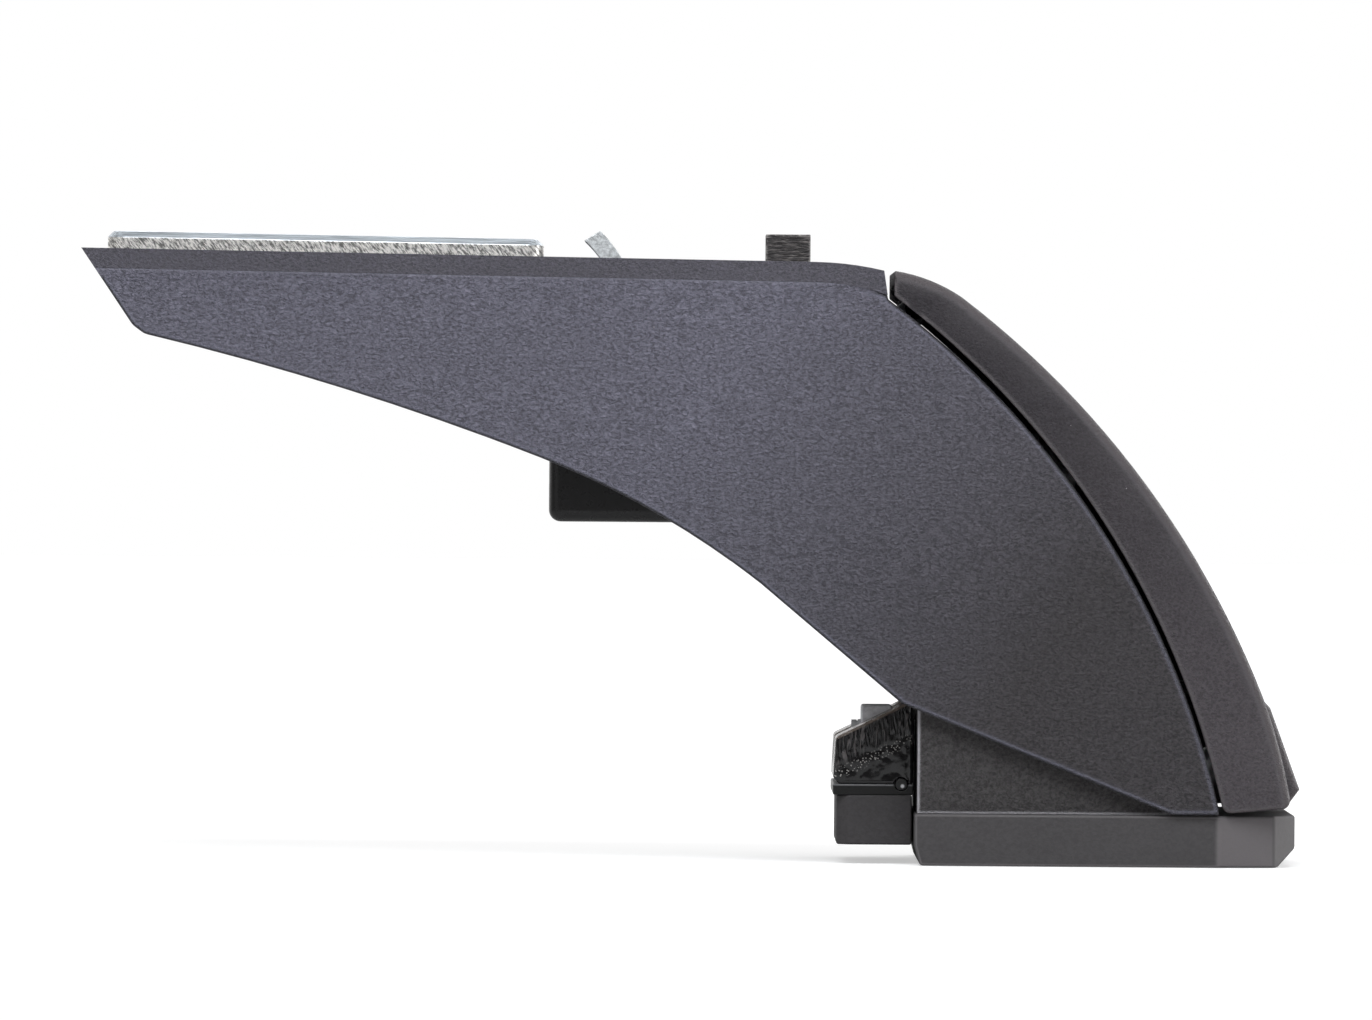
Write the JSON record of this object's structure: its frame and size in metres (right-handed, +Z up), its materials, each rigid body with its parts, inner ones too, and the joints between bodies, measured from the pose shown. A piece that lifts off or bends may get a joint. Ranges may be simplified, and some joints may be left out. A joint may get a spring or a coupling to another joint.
{
  "type": "roof bar foot",
  "caption": "Foot of a car roof bar: hollow arm over a steel frame, rubber base pad, clamp jaw driven by a screw, locking front cover and a T-slot plate on top for the bar.",
  "frame": {"origin": "middle of the main rubber pad's underside, where the foot stands on the roof", "axes": "+Z up, +X outboard across the car, the arm reaches inboard to -X, +Y along the car"},
  "size_m": [0.204, 0.07, 0.1054],
  "materials": {
    "shell_plastic": "grained matte",
    "cover_plastic": "fine grained matte",
    "shoe_plastic": "grained matte",
    "housing_plastic": "smooth satin",
    "saddle_rubber": "soft matte",
    "pad_rubber": "matte",
    "frame_coat": "black dip coat",
    "block_coat": "rough black coat",
    "jaw_coat": "glossy black cast",
    "zinc_steel": "zinc plated",
    "fastener_zinc": "bright zinc",
    "nut_steel": "dull grey",
    "lock_metal": "satin chrome"
  },
  "bodies": {
    "foot": {"arm_shell": "shell_plastic", "saddle_pad": "saddle_rubber", "shell_screws": "fastener_zinc", "steel_frame": "frame_coat", "foot_screws": "fastener_zinc", "base_plate": "frame_coat", "base_shoe": "shoe_plastic", "main_pad": "pad_rubber", "frame_spacers": "frame_coat", "frame_rivets": "frame_coat", "hinge_pin": "fastener_zinc", "latch_keeper": "frame_coat", "t_slot_plate": "zinc_steel", "t_plate_screws": "fastener_zinc", "t_plate_spacers": "zinc_steel", "t_plate_nuts": "fastener_zinc", "guide_block": "block_coat", "guide_screw": "fastener_zinc", "pivot_pin": "fastener_zinc", "pivot_clips": "fastener_zinc", "lever_housing": "housing_plastic", "housing_screws": "fastener_zinc", "upper_screw_seat": "zinc_steel", "lower_screw_seat": "zinc_steel"},
    "cover": {"front_cover": "cover_plastic", "lock_sleeve": "lock_metal"},
    "lock": {"lock_core": "lock_metal", "lock_cam": "zinc_steel", "cam_screw": "fastener_zinc"},
    "claw": {"claw_lever": "zinc_steel"},
    "claw_nut": {"upper_nut": "fastener_zinc"},
    "claw_screw": {"upper_screw": "fastener_zinc"},
    "jaw_screw": {"lower_screw": "fastener_zinc"},
    "jaw": {"clamp_jaw": "jaw_coat", "jaw_nut": "nut_steel", "jaw_plate": "zinc_steel", "inner_pad": "pad_rubber", "jaw_dowel": "fastener_zinc"}
  },
  "joints": [
    {"name": "cover_swing", "type": "hinge", "parent": "foot", "child": "cover", "pos_m": [-0.032, 0, 0.0928], "axis": [0, -1, 0], "range_deg": [0, 10]},
    {"name": "lock_turn", "type": "hinge", "parent": "cover", "child": "lock", "pos_m": [0.03042, 0, 0.01935], "axis": [0.9386, 0, 0.3451], "range_deg": [0, 90]},
    {"name": "claw_screw_turn", "type": "hinge", "parent": "foot", "child": "claw_screw", "pos_m": [-0.011, 0, 0.065], "axis": [-1, 0, 0], "range_deg": [0, 1297]},
    {"name": "claw_nut_slide", "type": "slide", "parent": "foot", "child": "claw_nut", "axis": [1, 0, 0], "range_m": [0, 0.0036]},
    {"name": "claw_swing", "type": "hinge", "parent": "foot", "child": "claw", "pos_m": [-0.08, 0, 0.0895], "axis": [0, -1, 0], "range_deg": [0, 8.43]},
    {"name": "jaw_screw_turn", "type": "hinge", "parent": "foot", "child": "jaw_screw", "pos_m": [0.0036, 0, 0.02], "axis": [1, 0, 0], "range_deg": [0, 1441]},
    {"name": "jaw_slide", "type": "slide", "parent": "foot", "child": "jaw", "axis": [-1, 0, 0], "range_m": [0, 0.005]}
  ],
  "couplings": [
    {"joint": "claw_screw_turn", "follows": "claw_nut_slide", "rad_per_m": 6283.2},
    {"joint": "claw_swing", "follows": "claw_nut_slide", "rad_per_m": 40.816},
    {"joint": "jaw_screw_turn", "follows": "jaw_slide", "rad_per_m": 5026.5}
  ]
}
